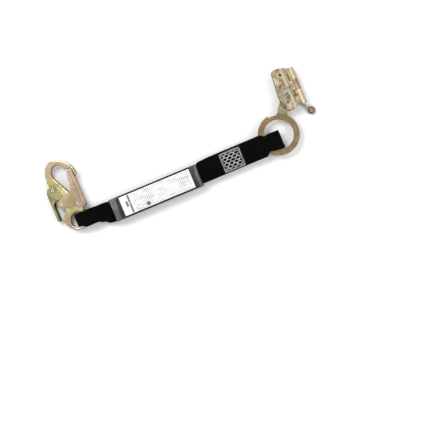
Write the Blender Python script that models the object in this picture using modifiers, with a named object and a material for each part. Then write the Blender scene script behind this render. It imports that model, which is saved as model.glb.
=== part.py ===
"""Rope grab with its sewn-on energy-absorbing lanyard and double-locking snap hook.

The object lies flat. +X runs along the lanyard towards the grab, +Y is the way the
hook's nose and the grab's top point, and +Z is up. The origin is the middle of the
flat underside of the absorber pack. Every length is in metres.
"""

import math

import bmesh
import bpy
from mathutils import Matrix, Vector

MM = 0.001
GAP = 0.3 * MM
ROUND = 16
HOLE_SEGMENTS = 16

# Grab: two pressed plates with the cam between them, and the rope beside the cam
GRAB_Z = 14.7 * MM
PLATE_IN = 7.0 * MM
PLATE_OUT = 9.5 * MM
ROPE_X = 320.0 * MM
CHANNEL_R = 9.0 * MM
SLEEVE_R = 11.5 * MM
SLEEVE_Y = (50.0 * MM, 122.0 * MM)
WINDOW_Y = (78.7 * MM, 98.3 * MM)
BARREL_X = 316.5 * MM
BARREL_RISE = 11.8 * MM
BARREL_R = 2.7 * MM
PIN_R = 1.3 * MM
BARREL_SWEEP = 3.1 * MM
CAM_AXIS = (300.0 * MM, 78.0 * MM)
CAM_HALF = 4.8 * MM
CAM_HUB_R = 10.5 * MM
CAM_FACE = 11.3 * MM
UPPER_SPACER = (293.6 * MM, 95.4 * MM)
LOWER_SPACER = (296.5 * MM, 63.6 * MM)
TOP_HOLE = (301.8 * MM, 115.2 * MM)
TOP_HOLE_R = 2.6 * MM
SPRING_SCREW = (304.9 * MM, 88.5 * MM)
RING_PIVOT = (281.8 * MM, 53.4 * MM)
RING_PIVOT_R = 3.0 * MM
LEVER_EYE_R = 9.0 * MM

# Locking plunger: its line runs from the knob up into the guide block
KNOB = (334.0 * MM, 32.8 * MM)
PLUNGER_Z = 3.8 * MM
PLUNGER_ANGLE = math.radians(121.7)
KNOB_R = 7.75 * MM
KNOB_HALF = 3.5 * MM
STEM_R = 1.9 * MM
GUIDE_START = 22.5 * MM
GUIDE_END = 30.5 * MM

# Connector ring
RING_CENTRE = (257.4 * MM, 13.3 * MM)
RING_OUT = 40.0 * MM
RING_IN = 28.6 * MM
RING_HALF = 2.5 * MM
RING_EYE_R = 7.5 * MM

# Lanyard: webbing, and the pack with the folded absorber inside
WEB = 2.6 * MM
RING_FLEX_X = 184.0 * MM
HOOK_FLEX_X = -105.0 * MM
PACK_X = 90.0 * MM
PACK_Y = 22.0 * MM
PACK_TOP = 24.0 * MM
PACK_MID = 12.0 * MM
FILM = 0.9 * MM
STITCH_X = (136.0 * MM, 177.0 * MM)
STITCH_Y = (-15.5 * MM, 21.5 * MM)
STITCH_ROWS = 8
STITCH_WIDTH = 1.3 * MM

# Snap hook, drawn flat and then tipped about its eye so that its gate side is raised
EYE = (-155.0 * MM, 10.0 * MM)
HOOK_Z = 13.5 * MM
HOOK_TILT = math.radians(10.0)
EYE_R = 15.3 * MM
EYE_OUT = 19.4 * MM
HOOK_HALF = 4.5 * MM
FLANK_IN = 5.0 * MM
FLANK_OUT = 6.8 * MM
GATE_PIVOT = (-146.0 * MM, 39.0 * MM)
GATE_TAIL = (-175.5 * MM, 48.5 * MM)
LEVER_PIVOT = (-181.0 * MM, 79.0 * MM)
HOOK_RIVET_R = 2.2 * MM

COLOURS = {
    "zinc": ((0.60, 0.50, 0.30), 0.32, 1.0),
    "zinc_dark": ((0.36, 0.28, 0.16), 0.38, 1.0),
    "zinc_olive": ((0.40, 0.38, 0.16), 0.35, 1.0),
    "rivet": ((0.70, 0.67, 0.60), 0.25, 1.0),
    "spring": ((0.32, 0.31, 0.30), 0.35, 1.0),
    "webbing": ((0.012, 0.012, 0.014), 0.9, 0.0),
    "film": ((0.05, 0.05, 0.055), 0.2, 0.0),
    "label": ((0.86, 0.86, 0.86), 0.4, 0.0),
    "thread": ((0.80, 0.80, 0.78), 0.8, 0.0),
}


# ---------------------------------------------------------------- tools

def new_collection(name):
    collection = bpy.data.collections.new(name)
    bpy.context.scene.collection.children.link(collection)
    return collection


def clear_scene():
    for obj in list(bpy.data.objects):
        bpy.data.objects.remove(obj, do_unlink=True)


def mm(*points):
    """Points given in millimetres, in metres."""
    return [(u * MM, v * MM) for u, v in points]


def arc(centre, radius, start, end, steps):
    """Points on an arc, both ends included. Angles are in degrees."""
    angles = [math.radians(start + (end - start) * i / steps) for i in range(steps + 1)]
    return [(centre[0] + radius * math.cos(a), centre[1] + radius * math.sin(a)) for a in angles]


def circle(centre, radius, steps=HOLE_SEGMENTS):
    return arc(centre, radius, 0, 360, steps)[:-1]


def curve_through(points, steps=3):
    """An open smooth line through the points (Catmull-Rom)."""
    ends = [points[0], *points, points[-1]]
    line = []
    for i in range(1, len(ends) - 2):
        p0, p1, p2, p3 = (Vector(p) for p in ends[i - 1:i + 3])
        for k in range(steps):
            t = k / steps
            line.append(tuple(0.5 * (2 * p1 + (p2 - p0) * t + (2 * p0 - 5 * p1 + 4 * p2 - p3) * t * t
                                     + (3 * p1 - p0 - 3 * p2 + p3) * t ** 3)))
    return line + [tuple(points[-1])]


def grown(points, distance):
    """A closed counter-clockwise outline moved outwards."""
    moved = []
    for i, point in enumerate(points):
        before, after = Vector(points[i - 1]), Vector(points[(i + 1) % len(points)])
        along = (after - before).normalized()
        moved.append((point[0] + along.y * distance, point[1] - along.x * distance))
    return moved


def add(name, mesh):
    obj = bpy.data.objects.new(name, mesh)
    PARTS.objects.link(obj)
    return obj


def mesh_of(obj):
    """The object's evaluated mesh in world space, welded. The object is removed."""
    graph = bpy.context.evaluated_depsgraph_get()
    mesh = bpy.data.meshes.new_from_object(obj.evaluated_get(graph))
    mesh.transform(obj.matrix_world)
    work = bmesh.new()
    work.from_mesh(mesh)
    bmesh.ops.remove_doubles(work, verts=work.verts, dist=1e-6)
    bmesh.ops.recalc_face_normals(work, faces=work.faces)
    work.to_mesh(mesh)
    work.free()
    bpy.data.objects.remove(obj, do_unlink=True)
    return mesh


def prism(name, loops, low, high, along="Z"):
    """Flat outline, with holes, made solid from low to high.

    Along Z the outline is in X and Y, and along Y it is in X and Z.
    """
    curve = bpy.data.curves.new(name, "CURVE")
    curve.dimensions = "2D"
    curve.fill_mode = "BOTH"
    curve.extrude = (high - low) / 2
    for loop in loops:
        spline = curve.splines.new("POLY")
        spline.points.add(len(loop) - 1)
        spline.use_cyclic_u = True
        for point, (u, v) in zip(spline.points, loop):
            point.co = (u, v, 0, 1)
    obj = add(name + "_outline", curve)
    middle = (low + high) / 2
    if along == "Z":
        obj.location = (0, 0, middle)
    else:
        obj.location = (0, middle, 0)
        obj.rotation_euler = (math.pi / 2, 0, 0)
    bpy.context.view_layer.update()
    return add(name, mesh_of(obj))


def box(name, low, high):
    work = bmesh.new()
    size = [b - a for a, b in zip(low, high)]
    middle = [(a + b) / 2 for a, b in zip(low, high)]
    bmesh.ops.create_cube(work, size=1, matrix=Matrix.Translation(middle) @ Matrix.Diagonal((*size, 1)))
    mesh = bpy.data.meshes.new(name)
    work.to_mesh(mesh)
    work.free()
    return add(name, mesh)


def rod(name, start, end, radius, steps=ROUND):
    """A plain cylinder between two points."""
    start, end = Vector(start), Vector(end)
    turn = (end - start).to_track_quat("Z", "Y").to_matrix().to_4x4()
    work = bmesh.new()
    bmesh.ops.create_cone(work, cap_ends=True, segments=steps, radius1=radius, radius2=radius,
                          depth=(end - start).length,
                          matrix=Matrix.Translation((start + end) / 2) @ turn)
    mesh = bpy.data.meshes.new(name)
    work.to_mesh(mesh)
    work.free()
    return add(name, mesh)


def turned(name, centre, profile, steps=ROUND):
    """A turned piece on an axis along Z. The profile runs from top to bottom as (radius, height)."""
    mesh = bpy.data.meshes.new(name)
    mesh.from_pydata([(r, 0, z) for r, z in profile], [(i, i + 1) for i in range(len(profile) - 1)], [])
    obj = add(name + "_profile", mesh)
    obj.location = centre
    screw = obj.modifiers.new("Turn", "SCREW")
    screw.steps = screw.render_steps = steps
    screw.use_merge_vertices = True
    screw.merge_threshold = 1e-6
    bpy.context.view_layer.update()
    return add(name, mesh_of(obj))


def wire(name, points, radius):
    """A round wire along the points, with closed ends."""
    curve = bpy.data.curves.new(name, "CURVE")
    curve.dimensions = "3D"
    curve.bevel_depth = radius
    curve.bevel_resolution = 2
    curve.use_fill_caps = True
    spline = curve.splines.new("POLY")
    spline.points.add(len(points) - 1)
    for point, place in zip(spline.points, points):
        point.co = (*place, 1)
    obj = add(name + "_line", curve)
    bpy.context.view_layer.update()
    return add(name, mesh_of(obj))


def coil(start, end, radius, turns, per_turn=12):
    """Points of a helix about the line from start to end."""
    start, end = Vector(start), Vector(end)
    turn = (end - start).to_track_quat("Z", "Y")
    count = round(turns * per_turn)
    line = []
    for i in range(count + 1):
        angle = 2 * math.pi * i / per_turn
        side = Vector((radius * math.cos(angle), radius * math.sin(angle), 0))
        line.append(start.lerp(end, i / count) + turn @ side)
    return line


def as_cutter(obj):
    PARTS.objects.unlink(obj)
    CUTTERS.objects.link(obj)
    obj.hide_render = True
    obj.display_type = "WIRE"
    return obj


def boolean(obj, other, operation):
    """A live Boolean on obj. The other solid stays in the file as its hidden cutter."""
    modifier = obj.modifiers.new(operation.title(), "BOOLEAN")
    modifier.operation = operation
    modifier.solver = "EXACT"
    modifier.object = as_cutter(other)
    return obj


def cut(obj, *others):
    for other in others:
        boolean(obj, other, "DIFFERENCE")
    return obj


def join(obj, *others):
    for other in others:
        boolean(obj, other, "UNION")
    return obj


def keep_inside(obj, other):
    return boolean(obj, other, "INTERSECT")


def paint(obj, colour):
    """Gives the object a material of its own."""
    (red, green, blue), roughness, metallic = COLOURS[colour]
    material = bpy.data.materials.new(obj.name)
    material.use_nodes = True
    shader = material.node_tree.nodes["Principled BSDF"]
    shader.inputs["Base Color"].default_value = (red, green, blue, 1)
    shader.inputs["Roughness"].default_value = roughness
    shader.inputs["Metallic"].default_value = metallic
    obj.data.materials.clear()
    obj.data.materials.append(material)
    obj.data.shade_smooth()
    obj.data.set_sharp_from_angle(angle=math.radians(30))


def body(name, place, objects, parent=None):
    """An empty on the body's joint, with the body's pieces and their cutters under it."""
    empty = bpy.data.objects.new(name + "_body", None)
    empty.location = place
    PARTS.objects.link(empty)
    bpy.context.view_layer.update()
    for piece in objects:
        for child in (piece, *(modifier.object for modifier in piece.modifiers)):
            child.parent = empty
            child.matrix_parent_inverse = empty.matrix_world.inverted()
    if parent:
        empty.parent = parent
        empty.matrix_parent_inverse = parent.matrix_world.inverted()
    bpy.context.view_layer.update()
    return empty


PARTS = None
CUTTERS = None


# ---------------------------------------------------------------- rope grab

BACK_BARREL_Z = GRAB_Z - BARREL_RISE
FRONT_BARREL_Z = GRAB_Z + BARREL_RISE
BACK_PLATE_KNUCKLES = ((62.0 * MM, 72.0 * MM), (83.0 * MM, 93.0 * MM), (104.0 * MM, 114.0 * MM))
SLEEVE_KNUCKLES = ((72.5 * MM, 82.5 * MM), (93.5 * MM, 103.5 * MM))
FRONT_PLATE_KNUCKLES = ((79.5 * MM, 84.4 * MM), (92.6 * MM, 97.3 * MM))
LATCH_KNUCKLE = (84.9 * MM, 92.1 * MM)


def barrel(y_range, z, radius=BARREL_R):
    low, high = y_range
    return rod("barrel", (BARREL_X, low, z), (BARREL_X, high, z), radius)


def knuckle_web(y_range, side):
    """Joins a knuckle to the plate's raised edge. side is +1 in front and -1 behind."""
    heights = sorted(GRAB_Z + side * h * MM for h in (11.9, 14.3))
    low, high = y_range[0] + GAP, y_range[1] - GAP
    return box("web", (311.5 * MM, low, heights[0]), (BARREL_X, high, heights[1]))


def plate(name, side):
    """A pressed plate: flat over the cam, with its right edge bent away from the rope."""
    reach = 325 if side > 0 else 314.4
    section = mm((279, 7), (309.8, 7), (312.4, 9.9), (314, 12), (reach, 12), (reach, 14.5),
                 (313, 14.5), (311.2, 12.8), (308.7, 9.5), (279, 9.5))
    section = [(x, GRAB_Z + side * z) for x, z in section]
    outline = mm((289, 127), (292, 129), (303, 128.5), (310, 126), (314.3, 124))
    if side > 0:
        outline += mm((314.3, 70), (311, 70), (311, 67.8), (320, 67.8), (320, 53))
    else:
        outline += mm((314.3, 53.5))
    outline += mm((313, 52), (308, 50), (304, 47.6), (296, 47), (290, 49), (285, 68), (284, 80),
                  (286, 100), (288, 123))
    holes = [circle(CAM_AXIS, 3.3 * MM), circle(UPPER_SPACER, 2.8 * MM), circle(LOWER_SPACER, 2.8 * MM),
             circle(TOP_HOLE, TOP_HOLE_R)]
    if side > 0:
        holes.append(circle(SPRING_SCREW, 1.8 * MM))
    obj = prism(name, [section], 40 * MM, 135 * MM, along="Y")
    keep_inside(obj, prism("outline", [outline, *holes], GRAB_Z - 30 * MM, GRAB_Z + 30 * MM))
    z = FRONT_BARREL_Z if side > 0 else BACK_BARREL_Z
    for low, high in (LATCH_KNUCKLE,) if side > 0 else SLEEVE_KNUCKLES:
        cut(obj, barrel((low - GAP, high + GAP), z, BARREL_SWEEP))
    for knuckle in FRONT_PLATE_KNUCKLES if side > 0 else BACK_PLATE_KNUCKLES:
        join(obj, knuckle_web(knuckle, side), barrel(knuckle, z))
    return cut(obj, barrel((40 * MM, 130 * MM), z, PIN_R + GAP))


def rivet(name, centre, shank, waist, waist_half):
    """A tubular rivet through both plates, headed outside them, with its waist between them."""
    head = 4.3 * MM
    top = PLATE_OUT + GAP
    profile = [(0, top), (1.6 * MM, top), (1.9 * MM, top + 1.4 * MM), (3.4 * MM, top + 1.4 * MM),
               (head, top + 0.7 * MM), (head, top), (shank, top)]
    if waist > shank:
        profile += [(shank, waist_half), (waist, waist_half)]
    profile += [(r, -z) for r, z in reversed(profile)]
    return turned(name, (*centre, GRAB_Z), profile)


def sector(name, start, end, y_range):
    """Part of the rope sleeve's wall."""
    middle = (ROPE_X, GRAB_Z)
    steps = max(3, round((end - start) / 9))
    outline = arc(middle, SLEEVE_R, start, end, steps) + arc(middle, CHANNEL_R, end, start, steps)
    return prism(name, [outline], *y_range, along="Y")


def rope_sleeve():
    """The hinged cover: two half tubes joined behind the latch window."""
    obj = sector("rope_sleeve", -100, 95, SLEEVE_Y)
    for low, high in ((98.8, 122.0), (70.5, 78.2)):
        bead = ((317.8 * MM, low * MM, GRAB_Z + 11 * MM), (317.8 * MM, high * MM, GRAB_Z + 11 * MM))
        join(obj, rod("bead", *bead, 2.4 * MM))
    cut(obj, box("window", (305 * MM, WINDOW_Y[0], GRAB_Z - 5.5 * MM), (340 * MM, WINDOW_Y[1], 40 * MM)),
        box("plunger_room", (305 * MM, 40 * MM, -5 * MM), (340 * MM, 62 * MM, GRAB_Z - 5.5 * MM)))
    for knuckle in BACK_PLATE_KNUCKLES:
        low, high = knuckle
        cut(obj, barrel((low - 0.5 * MM, high + 0.5 * MM), BACK_BARREL_Z, BARREL_SWEEP))
    for knuckle in SLEEVE_KNUCKLES:
        join(obj, barrel(knuckle, BACK_BARREL_Z))
    return cut(obj, barrel((40 * MM, 130 * MM), BACK_BARREL_Z, PIN_R + GAP))


def latch_strap():
    """The spring tongue that fills the sleeve's window, hinged on the front plate."""
    obj = sector("latch_strap", -22, 91, (79.2 * MM, 97.8 * MM))
    join(obj, sector("neck", 84, 101, LATCH_KNUCKLE), barrel(LATCH_KNUCKLE, FRONT_BARREL_Z))
    return cut(obj, barrel((60 * MM, 130 * MM), FRONT_BARREL_Z, PIN_R + GAP))


def cam_lever():
    """Toothed cam with the arm that ends in a fork for the ring."""
    teeth = []
    for i in range(13):
        angle = -42 + i * 5
        radius = CAM_FACE / math.cos(math.radians(angle)) - (i % 2) * 1.1 * MM
        teeth += arc(CAM_AXIS, radius, angle, angle, 1)[:1]
    outline = teeth + arc(CAM_AXIS, 10 * MM, 28, 150, 10)
    outline += mm((286.2, 79), (284.4, 74), (282.6, 69.5))
    outline += arc(RING_PIVOT, LEVER_EYE_R, 150, 375, 18)
    outline += mm((288.6, 63), (289.5, 66), (292.5, 69.5))
    outline += arc(CAM_AXIS, CAM_HUB_R, 235, 305, 7)
    obj = prism("cam_lever", [outline, circle(CAM_AXIS, 3.3 * MM), circle(RING_PIVOT, 3.3 * MM)],
                GRAB_Z - CAM_HALF, GRAB_Z + CAM_HALF)
    low, high = GRAB_Z - RING_HALF - GAP, GRAB_Z + RING_HALF + GAP
    slot = prism("slot", [circle(RING_PIVOT, LEVER_EYE_R + 0.7 * MM, 32)], low, high)
    recess = turned("recess", (*CAM_AXIS, GRAB_Z), [(0, 9 * MM), (6.6 * MM, 9 * MM), (6.6 * MM, 1.6 * MM),
                                                    (0, 1.6 * MM)], 24)
    return cut(obj, slot, recess)


def cam_spring():
    """Torsion spring in the cam's recess, with its leg held by the anchor screw."""
    low, rise, turns = GRAB_Z + 2.5 * MM, 3.7 * MM, 3
    flat = arc(CAM_AXIS, 4.6 * MM, 0, 360 * turns, 12 * turns)
    line = [(x, y, low + rise * i / (len(flat) - 1)) for i, (x, y) in enumerate(flat)]
    leg = (SPRING_SCREW[0] - 1.2 * MM, SPRING_SCREW[1] - 2.6 * MM, low + rise)
    return wire("cam_spring", [*line, leg], 0.5 * MM)


def anchor_screw():
    """Hexagon screw through the front plate."""
    top = PLATE_OUT + GAP
    obj = turned("spring_anchor_screw", (*SPRING_SCREW, GRAB_Z),
                 [(0, top + 2.6 * MM), (2.8 * MM, top + 2.6 * MM), (3.5 * MM, top + 2.2 * MM),
                  (3.5 * MM, top), (0, top)], 6)
    shank = rod("shank", (*SPRING_SCREW, GRAB_Z + 5.6 * MM), (*SPRING_SCREW, GRAB_Z + top + 1 * MM), 1.5 * MM)
    return join(obj, shank)


def ring_rivet():
    top = CAM_HALF + 1.1 * MM
    profile = [(0, top + 0.2 * MM), (1.4 * MM, top + 0.2 * MM), (1.7 * MM, top + 0.8 * MM),
               (4.4 * MM, top + 0.8 * MM), (5.0 * MM, top + 0.4 * MM), (5.0 * MM, top), (RING_PIVOT_R, top)]
    profile += [(r, -z) for r, z in reversed(profile)]
    return turned("ring_rivet", (*RING_PIVOT, GRAB_Z), profile)


def ring_washer(name, side):
    heights = sorted(GRAB_Z + side * h for h in (CAM_HALF + GAP, CAM_HALF + 0.8 * MM))
    return prism(name, [circle(RING_PIVOT, 5.6 * MM), circle(RING_PIVOT, 3.3 * MM)], *heights)


def along_plunger(distance, side=0.0, z=PLUNGER_Z):
    """A point at a distance from the knob along the plunger's line, and to one side of it."""
    c, s = math.cos(PLUNGER_ANGLE), math.sin(PLUNGER_ANGLE)
    return Vector((KNOB[0] + distance * c + side * s, KNOB[1] + distance * s - side * c, z))


def plunger_parts():
    bore = rod("bore", along_plunger(GUIDE_START - 5 * MM), along_plunger(GUIDE_END + 5 * MM), STEM_R + GAP)
    corners = [(GUIDE_START, -3.8 * MM), (GUIDE_START, 3.8 * MM),
               (GUIDE_END, 3.8 * MM), (GUIDE_END, -3.8 * MM)]
    outline = [tuple(along_plunger(d, s).xy) for d, s in corners]
    guide = cut(prism("plunger_guide", [outline], PLUNGER_Z - 3 * MM, PLUNGER_Z + 3 * MM), bore)

    pin_hole = [(*KNOB, -5 * MM), (*KNOB, 15 * MM)]
    stem = rod("plunger_stem", along_plunger(-4.6 * MM), along_plunger(GUIDE_END + 2.2 * MM), STEM_R)
    cut(stem, rod("pin_hole", *pin_hole, 1.1 * MM))

    half, edge = KNOB_HALF, 1.2 * MM
    profile = [(0, half - 0.6 * MM), (4.6 * MM, half - 0.6 * MM), (5.2 * MM, half), (KNOB_R - edge, half),
               (KNOB_R, half - edge)]
    profile += [(r, -z) for r, z in reversed(profile)]
    knob = turned("plunger_knob", (*KNOB, PLUNGER_Z), profile, 32)
    cut(knob, rod("socket", along_plunger(-4.9 * MM), along_plunger(12 * MM), STEM_R + GAP),
        rod("pin_hole", *pin_hole, 1.1 * MM))
    pin = rod("knob_cross_pin", (*KNOB, PLUNGER_Z - 3 * MM), (*KNOB, PLUNGER_Z + 3.2 * MM), 0.8 * MM, 10)
    spring = wire("plunger_spring", coil(along_plunger(8.6 * MM), along_plunger(GUIDE_START - 1 * MM),
                                         2.65 * MM, 5, 10), 0.4 * MM)
    return guide, stem, knob, pin, spring


def connector_ring():
    """Flat ring with an eye for the cam lever's fork."""
    neck = mm((268.5, 48.5), (274.5, 55.5), (289, 51), (287.5, 42), (270, 38))
    obj = prism("connector_ring", [circle(RING_CENTRE, RING_OUT, 64), circle(RING_CENTRE, RING_IN, 48)],
                GRAB_Z - RING_HALF, GRAB_Z + RING_HALF)
    low, high = GRAB_Z - RING_HALF, GRAB_Z + RING_HALF
    join(obj, prism("neck", [neck], low, high), prism("eye", [circle(RING_PIVOT, RING_EYE_R, 24)], low, high))
    step = arc(RING_CENTRE, 36.5 * MM, 74, 100, 6) + arc(RING_CENTRE, 45 * MM, 100, 74, 3)
    return cut(obj, prism("step", [step], 0, 30 * MM),
               rod("hole", (*RING_PIVOT, 0), (*RING_PIVOT, 30 * MM), 3.3 * MM))


def make_grab():
    pieces = {
        "front_plate": (plate("front_plate", 1), "zinc"),
        "back_plate": (plate("back_plate", -1), "zinc"),
        "upper_spacer_rivet": (rivet("upper_spacer_rivet", UPPER_SPACER, 2.5 * MM, 4.0 * MM, 6.7 * MM),
                               "rivet"),
        "lower_spacer_rivet": (rivet("lower_spacer_rivet", LOWER_SPACER, 2.5 * MM, 2.5 * MM, 0), "rivet"),
        "cam_axle_rivet": (rivet("cam_axle_rivet", CAM_AXIS, 3.0 * MM, 3.0 * MM, 0), "rivet"),
        "hinge_pin": (rod("hinge_pin", (BARREL_X, 61.5 * MM, BACK_BARREL_Z),
                          (BARREL_X, 114.5 * MM, BACK_BARREL_Z), PIN_R), "rivet"),
        "latch_pin": (rod("latch_pin", (BARREL_X, 79.0 * MM, FRONT_BARREL_Z),
                          (BARREL_X, 98.0 * MM, FRONT_BARREL_Z), PIN_R), "rivet"),
        "spring_anchor_screw": (anchor_screw(), "rivet"),
        "cam_spring": (cam_spring(), "spring"),
        "cam_lever": (cam_lever(), "zinc_olive"),
        "ring_rivet": (ring_rivet(), "rivet"),
        "front_washer": (ring_washer("front_washer", 1), "zinc"),
        "back_washer": (ring_washer("back_washer", -1), "zinc"),
        "rope_sleeve": (rope_sleeve(), "zinc"),
        "latch_strap": (latch_strap(), "zinc"),
        "connector_ring": (connector_ring(), "zinc_dark"),
    }
    names = ("plunger_guide", "plunger_stem", "plunger_knob", "knob_cross_pin", "plunger_spring")
    finishes = ("zinc", "zinc_dark", "zinc_dark", "rivet", "spring")
    for name, obj, finish in zip(names, plunger_parts(), finishes):
        pieces[name] = (obj, finish)
    for obj, finish in pieces.values():
        paint(obj, finish)
    return {name: obj for name, (obj, finish) in pieces.items()}


# ---------------------------------------------------------------- lanyard

def ring_loop_webbing():
    """The sewn eye round the ring's rim, wide, pinched where the rim passes, and folded inside the ring."""
    z = GRAB_Z
    fold = (254.5 * MM, z)
    outer = arc((RING_FLEX_X, z), WEB, 90, 270, 8)
    outer += [(x, z + h) for x, h in mm((196, -2.6), (208, -5.4), (216, -5.7))]
    outer += arc(fold, 5.7 * MM, -90, 90, 10)
    outer += [(x, z + h) for x, h in mm((216, 5.7), (208, 5.4), (196, 2.6))]
    hole = [(200 * MM, z)] + [(x, z + h) for x, h in mm((208, -2.4), (214, -3.1))]
    hole += arc(fold, 3.1 * MM, -90, 90, 8)
    hole += [(x, z + h) for x, h in mm((214, 3.1), (208, 2.4))]
    obj = prism("ring_loop_webbing", [outer, hole], -30 * MM, 40 * MM, along="Y")
    outline = mm((181, -18), (205, -18), (224, -15.5), (231, -10.5), (238, -12.5), (250, -14.3), (261, -14.5),
                 (261, 22), (240, 22.3), (231, 20.3), (226, 24.5), (205, 26), (181, 26))
    return keep_inside(obj, prism("outline", [outline], 0, 40 * MM))


def ring_strap_webbing():
    outline = mm((76, -18), (181.1, -18), (181.1, 26), (100, 25.5), (94, 24), (90.8, 20.4), (76, 20.4))
    return prism("ring_strap_webbing", [outline], GRAB_Z - WEB, GRAB_Z + WEB)


def box_stitch():
    """The sewn block on the strap: a thread border with zigzag rows inside it."""
    (left, right), (low, high) = STITCH_X, STITCH_Y
    z = GRAB_Z + WEB + GAP
    outer = [(left, low), (right, low), (right, high), (left, high)]
    inner = [(left + STITCH_WIDTH, low + STITCH_WIDTH), (right - STITCH_WIDTH, low + STITCH_WIDTH),
             (right - STITCH_WIDTH, high - STITCH_WIDTH), (left + STITCH_WIDTH, high - STITCH_WIDTH)]
    border = prism("box_stitch", [outer, inner], z, z + 0.6 * MM)
    rows = []
    pitch = (high - low - 2 * STITCH_WIDTH) / STITCH_ROWS
    start, end = left + 0.6 * MM, right - 0.6 * MM
    for row in range(STITCH_ROWS):
        y = low + STITCH_WIDTH + pitch * (row + 0.5)
        xs = [start + (end - start) * i / 6 for i in range(7)]
        line = [(x, y + (0.25 if i % 2 else -0.25) * pitch) for i, x in enumerate(xs)]
        upper = [(x, v + 0.45 * MM) for x, v in line]
        lower = [(x, v - 0.45 * MM) for x, v in line]
        rows.append(prism("row", [lower + upper[::-1]], z + 0.05 * MM, z + 0.65 * MM))
    return join(border, *rows)


def absorber_core():
    """The tear webbing folded to and fro in a stack, each layer joined to the one below at alternate ends."""
    left, right = -70 * MM, 70 * MM
    half_width = 20 * MM
    thick, pitch = 3.6 * MM, 5.0 * MM
    bottom = 1.9 * MM
    core = box("absorber_core", (left, -half_width, bottom), (right, half_width, bottom + thick))
    for i in range(1, 4):
        low = bottom + i * pitch
        layer = box("layer", (left, -half_width, low), (right, half_width, low + thick))
        fold_start = right - thick if i % 2 else left
        fold = box("fold", (fold_start, -half_width, low - pitch + 1 * MM),
                   (fold_start + thick, half_width, low + thick - 1 * MM))
        join(core, layer, fold)
    return core


def pack_cover():
    """Film sleeve, open at both ends, where it narrows on to the straps."""
    def section(inset):
        return [(-PACK_X, 5 * MM + inset), (-77 * MM, inset), (77 * MM, inset), (PACK_X, 5 * MM + inset),
                (PACK_X, 22 * MM - inset), (77 * MM, PACK_TOP - inset), (-77 * MM, PACK_TOP - inset),
                (-PACK_X, 20 * MM - inset)]
    obj = prism("pack_cover", [section(0)], -PACK_Y, PACK_Y, along="Y")
    hollow = section(FILM)
    hollow[0] = (-95 * MM, 5 * MM + FILM)
    hollow[3] = (95 * MM, 5 * MM + FILM)
    hollow[4] = (95 * MM, 22 * MM - FILM)
    hollow[7] = (-95 * MM, 20 * MM - FILM)
    return cut(obj, prism("hollow", [hollow], FILM - PACK_Y, PACK_Y - FILM, along="Y"))


def label():
    return box("label", (-69.5 * MM, -20 * MM, PACK_TOP + GAP), (73.5 * MM, 19.5 * MM, PACK_TOP + 0.9 * MM))


def hook_strap_webbing():
    outline = mm((-102.1, 21.5), (-92, 21.5), (-90.8, 20.4), (-74, 20.4), (-74, -20.4), (-97, -20.4),
                 (-102.1, -18.5))
    return prism("hook_strap_webbing", [outline[::-1]], PACK_MID - WEB, PACK_MID + WEB)


def hook_loop_webbing():
    """The sewn eye through the hook's eye. It leans with the hook's plate."""
    hole = mm((-119, 12.8), (-119, 14.2), (-124, 19.8), (-129, 22.9), (-134, 23))
    hole += arc((-153.4 * MM, 13.7 * MM), 5.2 * MM, 95, 265, 8)
    hole += mm((-131, 12.2), (-125, 12.2))
    obj = prism("hook_loop_webbing", [grown(hole, 2.5 * MM), hole], -30 * MM, 40 * MM, along="Y")
    neck = mm((-121, 9.4), (-105, 9.4))
    neck += arc((HOOK_FLEX_X, PACK_MID), WEB, -90, 90, 8)
    neck += mm((-105, 14.6), (-121, 16.2))
    join(obj, prism("neck", [neck], -30 * MM, 40 * MM, along="Y"))
    outline = mm((-101.5, -19), (-105, -17.3), (-112, -13), (-122, -8.6), (-148, -8.5), (-152.5, -4.2),
                 (-162, -3.3), (-162, 22), (-101.5, 21.6))
    return keep_inside(obj, prism("outline", [outline[::-1]], -10 * MM, 40 * MM))


# ---------------------------------------------------------------- snap hook

def hook_body():
    """Forged body: eye, stem, the hook's arch and the nose that covers the gate's end."""
    arch = curve_through(mm((-129, 88.5), (-125.2, 92.5), (-124.5, 99), (-126.5, 107), (-130.5, 114.5),
                            (-137, 122), (-147, 129), (-158, 133), (-166, 132), (-174, 127.5), (-180, 119),
                            (-183.5, 109), (-184.5, 98), (-184.5, 88)))
    left = mm((-184.3, 66), (-182, 61.5), (-172.5, 57), (-172.5, 31), (-176, 28.5), (-186, 21.5))
    foot = curve_through(mm((-186, 20), (-179.8, 9), (-173, -0.5), (-165.5, -6.8)))
    eye = arc(EYE, EYE_OUT, -110, 38, 14)
    inner = mm((-137.5, 29), (-137.5, 36), (-140, 44), (-148.5, 46), (-150.5, 56))
    throat = curve_through(mm((-153, 66), (-162, 85), (-169.3, 100), (-170.6, 108), (-168, 115), (-163, 120),
                              (-157, 121.8), (-151, 119.5), (-145, 113.5), (-141, 107.5)))
    seat = mm((-139.8, 106.3), (-133.2, 106.3), (-130.2, 103), (-129.1, 97))
    holes = [circle(EYE, EYE_R, 32), circle(GATE_PIVOT, HOOK_RIVET_R + GAP),
             circle(LEVER_PIVOT, HOOK_RIVET_R + GAP)]
    return prism("hook_body", [arch + left + foot + eye + inner + throat + seat, *holes],
                 HOOK_Z - HOOK_HALF, HOOK_Z + HOOK_HALF)


def folded(name, flank, spine, cuts):
    """Sheet bent to a U: two equal flanks and the spine that joins them."""
    low, high = HOOK_Z - FLANK_OUT, HOOK_Z + FLANK_OUT
    obj = prism(name, [flank, *cuts], HOOK_Z + FLANK_IN, high)
    return join(obj, prism("flank", [flank, *cuts], low, HOOK_Z - FLANK_IN),
                prism("spine", [spine], low + 0.05 * MM, high - 0.05 * MM))


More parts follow.
